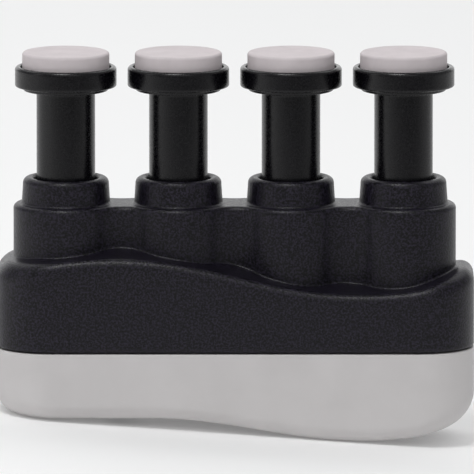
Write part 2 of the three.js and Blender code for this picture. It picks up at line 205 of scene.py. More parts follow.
# %% [markdown]
# ## The outlines seen from above
#
# The body is a rectangle with large corners. The block that carries the plungers has a lobe round
# each one, and shallow valleys between the lobes. Both outlines are written with the same number of
# points, paired one to one, so a strip of clean quads can run from one to the other: that strip is
# the wavy shelf on which light slides without a ripple.

# %% Outline of the block
VALLEY_R = ((PITCH / 2) ** 2 + VALLEY_HALF**2 - LOBE**2) / (2 * (LOBE - VALLEY_HALF))
VALLEY_Y = VALLEY_HALF + VALLEY_R
TURN = math.degrees(math.atan2(VALLEY_Y, PITCH / 2))
VALLEY_STEPS = 14
LOBE_STEP = 3.2


def block_half():
    """Back half of the block's outline, right to left: (x, y, normal x, normal y)."""
    found = []
    for n in reversed(range(FINGERS)):
        start = 0 if n == FINGERS - 1 else TURN
        end = 180 if n == 0 else 180 - TURN
        steps = round((end - start) / LOBE_STEP)
        for i in range(steps + 1):
            a = math.radians(start + (end - start) * i / steps)
            c, s = math.cos(a), math.sin(a)
            found.append((finger_x[n] + LOBE * c, LOBE * s, c, s))
        if n > 0:
            middle = finger_x[n] - PITCH / 2
            for i in range(1, VALLEY_STEPS):
                a = math.radians(-TURN - (180 - 2 * TURN) * i / VALLEY_STEPS)
                c, s = math.cos(a), math.sin(a)
                found.append((middle + VALLEY_R * c, VALLEY_Y + VALLEY_R * s, -c, -s))
    return found


half = block_half()
print("valley radius:", round(VALLEY_R, 3), "mm, points along the back:", len(half))


# %% Outline of the body
def body_partner(x, y, angle):
    """Body outline point that faces a block point, with its outward normal."""
    straight = HALF_DEPTH - CORNER
    centre = HALF_LENGTH - CORNER
    end_x = finger_x[-1]
    if abs(x) <= end_x:
        return x, HALF_DEPTH, 0.0, 1.0
    side = 1 if x > 0 else -1
    quarter = CORNER * math.pi / 2
    along = angle / 90 * (straight + quarter + centre - end_x)
    if along <= straight:
        return side * HALF_LENGTH, along, float(side), 0.0
    if along <= straight + quarter:
        a = (along - straight) / CORNER
        c, s = math.cos(a), math.sin(a)
        return side * (centre + CORNER * c), straight + CORNER * s, side * c, s
    return side * (centre - (along - straight - quarter)), HALF_DEPTH, 0.0, 1.0


print("faces the middle of the right end:", body_partner(HALF_LENGTH, 0.0, 0)[:2])

# %% Pair the outlines point by point
pairs = []
for x, y, nx, ny in half:
    angle = math.degrees(math.atan2(y, abs(x) - finger_x[-1]))
    pairs.append(((x, y, nx, ny), body_partner(x, y, min(max(angle, 0), 90))))
mirrored = [tuple((x, -y, nx, -ny) for x, y, nx, ny in pair) for pair in reversed(pairs)]
pairs += mirrored[1:-1]
block_line = np.array([p[0] for p in pairs])
body_line = np.array([p[1] for p in pairs])
print("outline points:", len(pairs))


# %% Offsets and heights
def inset(line, distance):
    """Moves an outline inwards along its normals."""
    return line[:, :2] - line[:, 2:] * np.asarray(distance).reshape(-1, 1)


def ring(flat, z):
    z = np.broadcast_to(np.asarray(z, float), len(flat))
    return [(float(p[0]), float(p[1]), float(h)) for p, h in zip(flat, z)]


def wave(x):
    """Height of the shelf's outer edge: a crest at the left, a trough at the right."""
    x = np.asarray(x, float)
    t_left = np.clip((CREST_X - x) / (CREST_X + HALF_LENGTH), 0, 1)
    t_right = np.clip((x - TROUGH_X) / (HALF_LENGTH - TROUGH_X), 0, 1)
    t_middle = np.clip((x - CREST_X) / (TROUGH_X - CREST_X), 0, 1)
    middle = CREST_Z + (TROUGH_Z - CREST_Z) * (1 - np.cos(np.pi * t_middle)) / 2
    return middle + (LEFT_Z - CREST_Z) * t_left**2 + (RIGHT_Z - TROUGH_Z) * t_right**2.5


def palm(x):
    """Height of the palm rest's underside: a level foot, an ease down and a shallow bulge."""
    x = np.asarray(x, float)
    t = np.clip((x - FOOT_END) / (BULGE_X - FOOT_END), 0, 1)
    ease = FOOT_Z * (1 - (1 - np.cos(np.pi * t)) / 2)
    return np.where(x < BULGE_X, ease, (x - BULGE_X) ** 2 / (2 * BULGE_R))


def end_share(line):
    """0 along the straight sides, growing to 1 at the two ends."""
    return np.clip((np.abs(line[:, 0]) - (HALF_LENGTH - CORNER)) / CORNER, 0, 1)


print("shelf edge, mm:", [round(float(wave(x)), 1) for x in (-HALF_LENGTH, CREST_X, TROUGH_X, HALF_LENGTH)])

# %% [markdown]
# ## Top casing
#
# The casing is one injection-moulded shell: wall, rolled edge, wavy shelf, scalloped block and four
# collars, with a bore through each. It is built as a chain of rings that all have the same points,
# first up the outside, then down the inside, which keeps every fillet an even band of quads.
# Around each collar the block's flat top is a cell of its own, so the rings can turn from the
# block's outline into a circle without a single triangle in sight.


# %% One finger's cell of an outline
def between(start, end, steps):
    """Points that lead straight from one point to another, without the two ends."""
    return [tuple(a + (b - a) * (k / steps) for a, b in zip(start, end)) for k in range(1, steps)]


def cell_boundary(flat, height, n, steps=10):
    """Points of one finger's share of an outline, closed across the valleys."""
    left = finger_x[n] - PITCH / 2 if n > 0 else -math.inf
    right = finger_x[n] + PITCH / 2 if n < FINGERS - 1 else math.inf
    inside = [left - 1e-6 <= p[0] <= right + 1e-6 for p in flat]
    count = len(flat)
    back = [i for i in range(len(half)) if inside[i]]
    front = [i % count for i in range(len(half) - 1, count + 1)]
    front = [i for i in front if inside[i]]
    spots = [(p[0], p[1], height) for p in flat]
    points = [spots[i] for i in back]
    if n > 0:
        points += between(points[-1], spots[front[0]], steps)
    elif front[0] == back[-1]:
        front = front[1:]
    points += [spots[i] for i in front]
    if n < FINGERS - 1:
        points += between(points[-1], points[0], steps)
    elif front[-1] == back[0]:
        points.pop()
    return points


print("points round each cell:", [len(cell_boundary(block_line, BLOCK_TOP, n)) for n in range(FINGERS)])

# %% Casing, outside: wall and rolled edge
share = end_share(body_line)
edge_radius = EDGE_SIDE + (EDGE_END - EDGE_SIDE) * share
rise = SHOULDER_RISE * share
outer = [
    ring(inset(body_line, SEAM_EASE), SEAM_TOP),
    ring(inset(body_line, 0.18), SEAM_TOP + 0.02),
    ring(inset(body_line, 0.07), SEAM_TOP + 0.1),
    ring(inset(body_line, 0), SEAM_TOP + SEAM_EASE),
    ring(inset(body_line, 0), SEAM_TOP + 0.6),
    ring(inset(body_line, 0), wave(body_line[:, 0]) - edge_radius - 0.5),
]
for angle in range(0, 91, 10):
    a = math.radians(angle)
    flat = inset(body_line, edge_radius * (1 - math.cos(a)))
    height = wave(flat[:, 0]) - edge_radius * (1 - math.sin(a)) + rise * math.sin(a)
    outer.append(ring(flat, height))
print("rings up to the shelf:", len(outer))

# %% Casing, outside: the shelf and the fillet at its foot
shelf_start = inset(body_line, edge_radius)


def shelf(t, gap):
    """Shelf ring at a share t of the way from the rolled edge to the fillet at the block's foot."""
    foot = inset(block_line, -gap)
    flat = shelf_start + (foot - shelf_start) * t
    run = np.linalg.norm(flat - shelf_start, axis=1)
    return flat, wave(flat[:, 0]) + rise + SHELF_BOW * run**2


for t in (0.04, 0.2, 0.4, 0.6, 0.8, 0.96, 1.0):
    outer.append(ring(*shelf(t, FOOT_FILLET)))
foot_z = shelf(1.0, FOOT_FILLET)[1]
for angle in (15, 30, 45, 60, 75, 90):
    a = math.radians(angle)
    flat = inset(block_line, -FOOT_FILLET * (1 - math.sin(a)))
    outer.append(ring(flat, foot_z + FOOT_FILLET * (1 - math.cos(a))))
print("shelf's inner end, mm:", round(float(foot_z.min()), 1), "to", round(float(foot_z.max()), 1))

# %% Casing, outside: the block and its rounded edge
casing = Skin()
outer.append(ring(inset(block_line, 0), foot_z + FOOT_FILLET + 0.3))
outer.append(ring(inset(block_line, 0), BLOCK_TOP - BLOCK_EDGE - 0.3))
for angle in range(0, 91, 10):
    a = math.radians(angle)
    flat = inset(block_line, BLOCK_EDGE * (1 - math.cos(a)))
    outer.append(ring(flat, BLOCK_TOP - BLOCK_EDGE * (1 - math.sin(a))))
top_flat = inset(block_line, BLOCK_EDGE + 0.03)
outer.append(ring(top_flat, BLOCK_TOP))
casing.strip(outer)
print("rings outside:", len(outer))

# %% Casing, inside
under_flat = inset(block_line, 0)
inner = [
    ring(inset(body_line, SEAM_EASE), SEAM_TOP),
    ring(inset(body_line, CASING_WALL), SEAM_TOP),
    ring(inset(body_line, CASING_WALL), wave(body_line[:, 0]) - CASING_WALL),
    ring(under_flat, wave(block_line[:, 0]) - CASING_WALL + 0.1),
    ring(under_flat, BLOCK_UNDERSIDE),
]
casing.strip(inner)
print("rings inside:", len(inner))

# %% Casing: the four collars and the chambers below them
COLLAR_FILLET, LIP_ROUND, BORE_ROUND = 0.45, 1.05, 0.5
collar_profile = [
    (COLLAR_FOOT + 0.38, BLOCK_TOP),
    *[
        (COLLAR_FOOT - 0.1 + COLLAR_FILLET * (1 - math.sin(a)), BLOCK_TOP + COLLAR_FILLET * (1 - math.cos(a)))
        for a in np.radians([0, 15, 30, 45, 60, 75, 90])
    ],
    (COLLAR_FOOT - 0.12, BLOCK_TOP + 0.7),
    (COLLAR + 0.06, COLLAR_TOP - 1.3),
    *rounded(COLLAR - 1.0, COLLAR_TOP - 1.0, LIP_ROUND, 0, 9),
    (BORE + 0.62, COLLAR_TOP),
    *rounded(BORE + BORE_ROUND, COLLAR_TOP - BORE_ROUND, BORE_ROUND, 90, 5),
    (BORE, COLLAR_TOP - 0.8),
    (BORE, CHAMBER_TOP + 0.2),
    (BORE, CHAMBER_TOP),
    (CHAMBER, CHAMBER_TOP),
]


def chamber_point(a, x):
    """Wall of the chamber at an angle; a slot towards the middle takes the plunger's key."""
    towards = 1 if x < 0 else -1
    y = CHAMBER * math.sin(a)
    if towards * math.cos(a) > 0 and abs(y) < KEY_SLOT_HALF:
        return x + towards * KEY_SLOT_REACH, y
    return x + CHAMBER * math.cos(a), y


for n, x in enumerate(finger_x):
    boundary = cell_boundary(top_flat, BLOCK_TOP, n)
    angles = [math.atan2(p[1], p[0] - x) for p in boundary]
    rings = [boundary]
    for r, z in collar_profile:
        rings.append([(x + r * math.cos(a), r * math.sin(a), z) for a in angles])
    for z in (CHAMBER_TOP, BLOCK_UNDERSIDE):
        rings.append([(*chamber_point(a, x), z) for a in angles])
    rings.append(cell_boundary(under_flat, BLOCK_UNDERSIDE, n))
    casing.strip(rings)
casing_mesh = mesh_from("casing", casing.points, casing.faces)

# %% Casing: four bosses inside for the casing screws
bosses = Skin()
for x, y in SCREWS:
    top = float(wave(x)) - 1.0
    profile = [(HOLE, SEAM_TOP), (BOSS, SEAM_TOP), (BOSS, top), (HOLE, top), (HOLE, SEAM_TOP)]
    bosses.turn(profile, x, y, 32)
boss_mesh = mesh_from("casing bosses", bosses.points, bosses.faces)


def joined(name, meshes):
    """One object from several closed meshes."""
    work = bmesh.new()
    for mesh in meshes:
        work.from_mesh(mesh)
    whole = bpy.data.meshes.new(name)
    work.to_mesh(whole)
    work.free()
    return new_object(name, whole)


top_casing = joined("top_casing_skin", [casing_mesh, boss_mesh])

# %% [markdown]
# ## Palm rest
#
# The grey half of the body lies in the palm. Its underside is one long contour: a level foot, an
# ease down and a shallow bulge. The height of every point comes from that one formula, so the
# surface stays true even where the rings squeeze past the four screw wells.

# %% Palm rest: from the floor inside, over the lip, down the wall and round the heel
heel = HEEL_SIDE + (HEEL_END - HEEL_SIDE) * share
floor_flat = inset(body_line, LIP_INSIDE)
sides = [
    ring(floor_flat, palm(floor_flat[:, 0]) + REST_FLOOR),
    ring(floor_flat, LIP_TOP),
    ring(inset(body_line, LIP_OUTSIDE), LIP_TOP),
    ring(inset(body_line, LIP_OUTSIDE), SEAM_BOTTOM),
    ring(inset(body_line, 0.5), SEAM_BOTTOM),
]
for angle in range(90, -1, -15):
    a = math.radians(angle)
    flat = inset(body_line, REST_EDGE * (1 - math.cos(a)))
    sides.append(ring(flat, SEAM_BOTTOM - REST_EDGE * (1 - math.sin(a))))
sides.append(ring(inset(body_line, 0), SEAM_BOTTOM - 0.6))
sides.append(ring(inset(body_line, 0), palm(body_line[:, 0]) + heel + 0.4))
for angle in range(0, 91, 9):
    a = math.radians(angle)
    flat = inset(body_line, heel * (1 - math.cos(a)))
    sides.append(ring(flat, palm(flat[:, 0]) + heel * (1 - math.sin(a))))
underside_flat = inset(body_line, heel + 0.3)
sides.append(ring(underside_flat, palm(underside_flat[:, 0])))
rest = Skin()
rest.strip(sides)
print("rings round the palm rest:", len(sides))


# %% Palm rest: the underside in quarters, one round each screw well
def quarter_boundary(flat, sx, sy, steps=16):
    """Outline of one quarter of the underside: its stretch of the ring, then the two middle lines."""
    part = [p for p in flat if p[0] * sx > 1e-6 and p[1] * sy > 1e-6]
    part.sort(key=lambda p: math.atan2(p[1] * sy, p[0] * sx))
    reach_x = max(abs(p[0]) for p in flat)
    reach_y = max(abs(p[1]) for p in flat)
    line = [(reach_x * sx, 0.0), *[(float(p[0]), float(p[1])) for p in part], (0.0, reach_y * sy)]
    line += [(0.0, reach_y * sy * (1 - k / 6)) for k in range(1, 6)]
    line += [(reach_x * sx * k / steps, 0.0) for k in range(steps)]
    return line


def on_palm(line, lift=0.0):
    """Lays flat points on the palm contour, or a fixed height above it."""
    return [(x, y, float(palm(x)) + lift) for x, y in line]


def circle(cx, cy, r, angles):
    return [(cx + r * math.cos(a), cy + r * math.sin(a)) for a in angles]


for cx, cy in SCREWS:
    sx, sy = (1 if cx > 0 else -1), (1 if cy > 0 else -1)
    low_line = quarter_boundary(underside_flat, sx, sy)
    angles = [math.atan2(y - cy, x - cx) for x, y in low_line]
    rim = circle(cx, cy, WELL + 0.35, angles)
    rings = [on_palm(low_line)]
    for t in (0.3, 0.6, 0.85, 1.0):
        mixed = [(p[0] + (q[0] - p[0]) * t, p[1] + (q[1] - p[1]) * t) for p, q in zip(low_line, rim)]
        rings.append(on_palm(mixed))
    for angle in (30, 60, 90):
        a = math.radians(angle)
        edge = circle(cx, cy, WELL + WELL_EDGE * (1 - math.sin(a)), angles)
        rings.append(on_palm(edge, WELL_EDGE * (1 - math.cos(a))))
    rings.append(on_palm(circle(cx, cy, WELL, angles), REST_FLOOR - 0.1))
    rings.append(on_palm(circle(cx, cy, WELL + 0.2, angles), REST_FLOOR))
    rings.append(on_palm(quarter_boundary(floor_flat, sx, sy), REST_FLOOR))
    rest.strip(rings)
rest_mesh = mesh_from("palm rest", rest.points, rest.faces)

# %% Palm rest: pillars for the casing screws and posts for the springs
PILLAR, POST, POST_TOP = 4.0, 4.2, 10.0
PIN, PIN_TOP, FOOTING = 2.475, 13.0, 1.2
fittings = Skin()
for x, y in SCREWS:
    base = float(palm(x)) + FOOTING
    pillar = [
        (WELL + 0.02, base),
        (PILLAR, base),
        (PILLAR, SEAM_BOTTOM),
        (HOLE, SEAM_BOTTOM),
        (HOLE, WELL_TOP),
        (WELL + 0.02, WELL_TOP),
        (WELL + 0.02, base),
    ]
    fittings.turn(pillar, x, y, 48)
for x in finger_x:
    base = float(palm(x)) + FOOTING
    post = [(0, base), (POST, base), (POST, POST_TOP), (PIN, POST_TOP)]
    pin = [(PIN, PIN_TOP - 0.3), (PIN - 0.275, PIN_TOP), (0, PIN_TOP)]
    fittings.turn(post + pin, x, 0, 48)
fitting_mesh = mesh_from("palm rest posts", fittings.points, fittings.faces)
palm_rest = joined("palm_rest_skin", [rest_mesh, fitting_mesh])

# %% [markdown]
# ## Turned pieces
#
# A plunger, a dial and a pad are all round, so each is a profile spun about its own axis. The spin is
# a Geometry Nodes group: it lays out a grid with one column per profile point, then places
# every column on its circle. The same group serves every round piece, with a profile and a number of
# segments as its inputs, and a finer or coarser piece is one number away.


# %% Start and end of a node group
def new_group(name, sockets):
    group = bpy.data.node_groups.new(name, "GeometryNodeTree")
    group.interface.new_socket("Geometry", in_out="INPUT", socket_type="NodeSocketGeometry")
    for label, kind in sockets:
        group.interface.new_socket(label, in_out="INPUT", socket_type=kind)
    group.interface.new_socket("Geometry", in_out="OUTPUT", socket_type="NodeSocketGeometry")
    return group


def finish_group(group, start, geometry):
    """Realizes, sets the material and sends the geometry out."""
    real = add_node(group, "GeometryNodeRealizeInstances", None, {0: geometry})
    inputs = {"Geometry": real.outputs[0], "Material": start.outputs["Material"]}
    painted = add_node(group, "GeometryNodeSetMaterial", None, inputs)
    add_node(group, "NodeGroupOutput", None, {0: painted.outputs[0]})


print("group tools ready, groups so far:", len(bpy.data.node_groups))

# %% The lathe as a Geometry Nodes group
lathe = new_group(
    "Lathe",
    [
        ("Profile", "NodeSocketObject"),
        ("Points", "NodeSocketInt"),
        ("Segments", "NodeSocketInt"),
        ("Material", "NodeSocketMaterial"),
    ],
)
start = add_node(lathe, "NodeGroupInput")
segments = start.outputs["Segments"]
add, multiply = {"operation": "ADD"}, {"operation": "MULTIPLY"}
subtract, divide = {"operation": "SUBTRACT"}, {"operation": "DIVIDE"}
rows = add_node(lathe, "ShaderNodeMath", add, {0: segments, 1: 1.0}).outputs[0]
counts = {"Vertices X": start.outputs["Points"], "Vertices Y": rows}
grid = add_node(lathe, "GeometryNodeMeshGrid", None, counts)
print("grid inputs:", [socket.name for socket in grid.inputs])

# %% Which column and which angle a grid point has
index = add_node(lathe, "GeometryNodeInputIndex").outputs[0]
strip = add_node(lathe, "ShaderNodeMath", divide, {0: index, 1: rows}).outputs[0]
column = add_node(lathe, "ShaderNodeMath", {"operation": "FLOOR"}, {0: strip}).outputs[0]
first = add_node(lathe, "ShaderNodeMath", multiply, {0: column, 1: rows}).outputs[0]
row = add_node(lathe, "ShaderNodeMath", subtract, {0: index, 1: first}).outputs[0]
part = add_node(lathe, "ShaderNodeMath", divide, {0: row, 1: segments}).outputs[0]
turn = add_node(lathe, "ShaderNodeMath", multiply, {0: part, 1: 2 * math.pi}).outputs[0]
cosine = add_node(lathe, "ShaderNodeMath", {"operation": "COSINE"}, {0: turn}).outputs[0]
sine = add_node(lathe, "ShaderNodeMath", {"operation": "SINE"}, {0: turn}).outputs[0]
print("nodes so far:", len(lathe.nodes))

# %% Place every column on its circle
source = add_node(lathe, "GeometryNodeObjectInfo", None, {"Object": start.outputs["Profile"]})
where = add_node(lathe, "GeometryNodeInputPosition").outputs[0]
sample = add_node(
    lathe,
    "GeometryNodeSampleIndex",
    {"data_type": "FLOAT_VECTOR", "domain": "POINT"},
    {"Geometry": source.outputs["Geometry"], "Value": where, "Index": column},
)
parts = add_node(lathe, "ShaderNodeSeparateXYZ", None, {0: sample.outputs[0]})
x = add_node(lathe, "ShaderNodeMath", multiply, {0: parts.outputs["X"], 1: cosine}).outputs[0]
y = add_node(lathe, "ShaderNodeMath", multiply, {0: parts.outputs["X"], 1: sine}).outputs[0]
place = add_node(lathe, "ShaderNodeCombineXYZ", None, {"X": x, "Y": y, "Z": parts.outputs["Z"]})
shape = {"Geometry": grid.outputs["Mesh"], "Position": place.outputs[0]}
spun = add_node(lathe, "GeometryNodeSetPosition", None, shape)
joins = {"Geometry": spun.outputs[0], "Distance": 1e-6}
welded = add_node(lathe, "GeometryNodeMergeByDistance", None, joins)
finish_group(lathe, start, welded.outputs[0])
print("lathe nodes:", len(lathe.nodes))


# %% Bake a group into a plain mesh
def baked(name, group, values):
    """Runs a node group on an empty mesh with the given inputs and keeps the plain result."""
    host = new_object(name, bpy.data.meshes.new(name))
    modifier = host.modifiers.new(name, "NODES")
    modifier.node_group = group
    for item in group.interface.items_tree:
        if item.in_out == "INPUT" and item.name in values:
            modifier[item.identifier] = values[item.name]
    host.update_tag()
    graph = bpy.context.evaluated_depsgraph_get()
    mesh = bpy.data.meshes.new_from_object(host.evaluated_get(graph))
    mesh.name = name
    bpy.data.objects.remove(host)
    open_edges = tidy(mesh)
    print(f"{name}: {len(mesh.polygons)} faces, {open_edges} open edges")
    return mesh


def turned(name, profile, material, segments=128):
    """Spins a profile of (radius, z) pairs, in millimetres, with the lathe group."""
    points = bpy.data.meshes.new(name + " profile")
    points.from_pydata([(r * MM, 0.0, z * MM) for r, z in profile], [], [])
    host = new_object(name + " profile", points)
    values = {"Profile": host, "Points": len(profile), "Segments": segments, "Material": material}
    mesh = baked(name, lathe, values)
    bpy.data.objects.remove(host)
    return mesh


# %% [markdown]
# ## Materials
#
# A few finishes tell the pieces apart: casing plastic with a spark-eroded grain, smoother plungers,
# soft-touch grey for the palm, matt silicone for the fingertips, and small hardware.
# Each starts from the usual values for its stuff and adds what the mould or the machine leaves behind.
# The real grains are near a tenth of a millimetre, too fine to show at this distance, so each is
# drawn as coarse and as deep as it needs to be seen.


# %% A material and its grain
def new_material(name, colour, roughness, ior=1.5, metallic=0.0, specular=0.5):
    made = bpy.data.materials.new(name)
    made.use_nodes = True
    tree = made.node_tree
    shader = tree.nodes["Principled BSDF"]
    shader.inputs["Base Color"].default_value = hex_colour(colour)
    shader.inputs["Roughness"].default_value = roughness
    shader.inputs["IOR"].default_value = ior
    shader.inputs["Metallic"].default_value = metallic
    shader.inputs["Specular IOR Level"].default_value = specular
    return made, tree, shader


def grain(tree, shader, size_mm, depth_mm, strength=1.0, stretch=(1, 1, 1)):
    """Raises a fine grain of a given size and depth."""
    coords = add_node(tree, "ShaderNodeTexCoord").outputs["Object"]
    mapped = add_node(tree, "ShaderNodeMapping", None, {"Vector": coords, "Scale": stretch}).outputs[0]
    look = {"Vector": mapped, "Scale": 1 / (size_mm * MM), "Detail": 2.0, "Roughness": 0.6}
    noise = add_node(tree, "ShaderNodeTexNoise", None, look)
    raised = {"Height": noise.outputs[0], "Distance": depth_mm * MM, "Strength": strength}
    bump = add_node(tree, "ShaderNodeBump", None, raised)
    tree.links.new(bump.outputs[0], shader.inputs["Normal"])
    return noise.outputs[0], coords


print("materials so far:", len(bpy.data.materials))

# %% Patterns that move a value or a colour
NOISE_LOW, NOISE_HIGH = 0.3, 0.7


def vary(tree, shader, socket, source, low, high, source_low=NOISE_LOW, source_high=NOISE_HIGH):
    """Lets a pattern move one value of the shader between two limits."""
    limits = {"From Min": source_low, "From Max": source_high, "To Min": low, "To Max": high}
    spread = add_node(tree, "ShaderNodeMapRange", None, {"Value": source, **limits})
    tree.links.new(spread.outputs[0], shader.inputs[socket])


def tint(tree, shader, source, dark, light, source_low=NOISE_LOW, source_high=NOISE_HIGH):
    """Lets a pattern move the colour between two nearby tones."""
    limits = {"Value": source, "From Min": source_low, "From Max": source_high}
    factor = add_node(tree, "ShaderNodeMapRange", None, limits)
    tones = {"Factor": factor.outputs[0], 6: hex_colour(dark), 7: hex_colour(light)}
    mix = add_node(tree, "ShaderNodeMix", {"data_type": "RGBA"}, tones)
    tree.links.new(mix.outputs[2], shader.inputs["Base Color"])


def cloud(tree, shader, coords, size_mm, dark, light):
    """Mottles the colour in soft patches of a given size."""
    look = {"Vector": coords, "Scale": 1 / (size_mm * MM), "Detail": 3.0}
    patches = add_node(tree, "ShaderNodeTexNoise", None, look)
    tint(tree, shader, patches.outputs[0], dark, light)


print("noise values used:", NOISE_LOW, "to", NOISE_HIGH)

# %% Casing and plungers
# Casing: ABS from a spark-eroded mould. The grain breaks its highlights into a soft, dusty sheen.
name = "ABS, black, spark-eroded grain"
casing_black, tree, shader = new_material(name, "#09080D", 0.4, 1.46, specular=0.31)
pattern = grain(tree, shader, 0.36, 0.07, 1.0)[0]
vary(tree, shader, "Roughness", pattern, 0.28, 0.46)
tint(tree, shader, pattern, "#000002", "#231F2C", 0.43, 0.62)

# Plungers and dials: acetal, polished mould. Smoother, so edges catch a thin clear line.
name = "Acetal, black, satin moulded"
plunger_black, tree, shader = new_material(name, "#050408", 0.26, 1.47, specular=0.4)
pattern = grain(tree, shader, 0.4, 0.008, 0.5)[0]
vary(tree, shader, "Roughness", pattern, 0.2, 0.32)
print("black plastics:", casing_black.name, "/", plunger_black.name)

# %% Palm rest and finger pads
# Palm rest: soft-touch grey. Nearly flat in colour, with a very fine tooth.
name = "ABS, grey, soft-touch lacquer"
palm_grey, tree, shader = new_material(name, "#C9C7C7", 0.62, 1.5, specular=0.35)
pattern, coords = grain(tree, shader, 0.22, 0.006, 0.4)
cloud(tree, shader, coords, 9, "#C6C3C3", "#CCC9C9")
vary(tree, shader, "Roughness", pattern, 0.56, 0.7)

# Finger pads: moulded silicone, matt and a touch warm, with the faint mottling of a soft mould.
name = "Silicone, light grey, matt moulded"
pad_grey, tree, shader = new_material(name, "#CBC3C5", 0.72, 1.41, specular=0.3)
pattern, coords = grain(tree, shader, 0.35, 0.012, 0.45)
cloud(tree, shader, coords, 3.5, "#C7BFC1", "#CFC7C9")
vary(tree, shader, "Roughness", pattern, 0.66, 0.8)
print("greys:", palm_grey.name, "/", pad_grey.name)

# %% Hardware
# Zinc plate is bright with a slight bloom; the spring wire keeps its drawing lines.
zinc_steel, tree, shader = new_material("Steel, bright zinc plate", "#C9CCD0", 0.28, metallic=1.0)
vary(tree, shader, "Roughness", grain(tree, shader, 0.4, 0.003, 0.4)[0], 0.22, 0.36)

WIRE_STRETCH = (1, 1, 0.2)
spring_steel, tree, shader = new_material("Spring steel, drawn wire", "#A9A8A6", 0.3, metallic=1.0)
vary(tree, shader, "Roughness", grain(tree, shader, 0.1, 0.003, 0.4, WIRE_STRETCH)[0], 0.24, 0.4)

# The nuts are natural acetal, which lets a little light in under its skin.
nut_acetal, tree, shader = new_material("Acetal, natural, moulded", "#E6E3DA", 0.4, 1.48)
shader.inputs["Subsurface Weight"].default_value = 0.15
shader.inputs["Subsurface Radius"].default_value = (0.0012, 0.0011, 0.0009)
vary(tree, shader, "Roughness", grain(tree, shader, 0.6, 0.004, 0.3)[0], 0.36, 0.46)
print("materials:", len(bpy.data.materials))

# %% [markdown]
# ## Plungers, dials and pads
#
# Each finger gets a tube with a flange on top, a dial that sits over the flange, and a silicone pad
# inside the dial's rim. Each profile starts and ends on the axis or comes back to its first point,
# so every spun solid is closed.

# %% Plunger
PISTON, PISTON_BOTTOM, PISTON_TOP = CHAMBER - 0.3, 36.1, 37.9
NECK_HOLE = 2.42
END_WALL_LOW = FLANGE_TOP - 2.2
plunger_profile = [
    (NECK_HOLE, END_WALL_LOW),
    (TUBE_BORE, END_WALL_LOW),
    (TUBE_BORE, TUBE_BOTTOM),
    (TUBE - 0.3, TUBE_BOTTOM),
    (TUBE, TUBE_BOTTOM + 0.3),
    (TUBE, PISTON_BOTTOM),
    (PISTON, PISTON_BOTTOM),
    (PISTON, PISTON_TOP),
    (TUBE, PISTON_TOP),
    (TUBE, PISTON_TOP + 0.4),
    (TUBE, FLANGE_BOTTOM - 0.7),
    *hollow(TUBE + 0.4, FLANGE_BOTTOM - 0.4, 0.4, 90, 6),
    (TUBE + 0.7, FLANGE_BOTTOM),
    (FLANGE - 0.45, FLANGE_BOTTOM),
    *rounded(FLANGE - 0.25, FLANGE_BOTTOM + 0.25, 0.25, -90, 4),
    (FLANGE, FLANGE_TOP - 0.2),
    (FLANGE - 0.2, FLANGE_TOP),
    (NECK_HOLE, FLANGE_TOP),
    (NECK_HOLE, END_WALL_LOW),
]
plunger_mesh = turned("plunger", plunger_profile, plunger_black)

# %% Dial and pad
SOCKET, DIAL_CEILING = 2.6, DIAL_FLOOR - 1.7
DISH = PAD + 0.3
dial_profile = [
    (SOCKET, DIAL_CEILING),
    (FLANGE + 0.3, DIAL_CEILING),
    (FLANGE + 0.3, DIAL_BOTTOM),
    (DIAL - 0.5, DIAL_BOTTOM),
    *rounded(DIAL - 0.3, DIAL_BOTTOM + 0.3, 0.3, -90, 4),
    (DIAL, DIAL_BOTTOM + 0.6),
    (DIAL, DIAL_TOP - 0.8),
    *rounded(DIAL - 0.6, DIAL_TOP - 0.6, 0.6, 0, 8),
    *rounded(DISH + 0.25, DIAL_TOP - 0.25, 0.25, 90, 4),
    (DISH, DIAL_TOP - 0.5),
    (DISH, DIAL_FLOOR),
    (SOCKET, DIAL_FLOOR),
    (SOCKET, DIAL_CEILING),
]
pad_profile = [
    (0, PAD_BOTTOM),
    (PAD - 0.2, PAD_BOTTOM),
    (PAD, PAD_BOTTOM + 0.2),
    (PAD, PAD_TOP - 0.7),
    *rounded(PAD - 0.5, PAD_TOP - 0.5, 0.5, 0, 8),
    (PAD - 0.8, PAD_TOP - 0.02),
    (PAD - 1.1, PAD_TOP - 0.1),
    (PAD - 1.5, PAD_TOP - 0.18),
    (PAD - 2.1, PAD_TOP - 0.23),
    (PAD - 3.0, PAD_TOP - 0.25),
    (0, PAD_TOP - 0.25),
]
dial_mesh = turned("tension dial", dial_profile, plunger_black)
pad_mesh = turned("finger pad", pad_profile, pad_grey)

# %% [markdown]
# ## Springs, tension screws, nuts and casing screws
#
# A coil spring and a screw thread are both a section that follows a helix, so one node group draws a
# spiral and sweeps a small circle along it. With a thick, close helix on a core it is a thread;
# with a thin, open one it is a spring. The nut travels along the thread as the dial turns, because
# its two keys keep it from turning too. The casing screws come up through the palm rest, and their
# cross recess is cut with two small bars.

# %% The helix as a Geometry Nodes group
helix = new_group(
    "Helix sweep",
    [
        ("Turns", "NodeSocketFloat"),
        ("Radius", "NodeSocketFloat"),
        ("Height", "NodeSocketFloat"),
        ("Wire Radius", "NodeSocketFloat"),
        ("Start Height", "NodeSocketFloat"),
        ("Steps", "NodeSocketInt"),
        ("Material", "NodeSocketMaterial"),
    ],
)
start = add_node(helix, "NodeGroupInput")
spiral = add_node(
    helix,
    "GeometryNodeCurveSpiral",
    None,
    {
        "Resolution": start.outputs["Steps"],
        "Rotations": start.outputs["Turns"],
        "Start Radius": start.outputs["Radius"],
        "End Radius": start.outputs["Radius"],
        "Height": start.outputs["Height"],
    },
)
size = {"Resolution": 10, "Radius": start.outputs["Wire Radius"]}
section = add_node(helix, "GeometryNodeCurvePrimitiveCircle", None, size)
wire = add_node(
    helix,
    "GeometryNodeCurveToMesh",
    None,
    {"Curve": spiral.outputs[0], "Profile Curve": section.outputs[0], "Fill Caps": True},
)
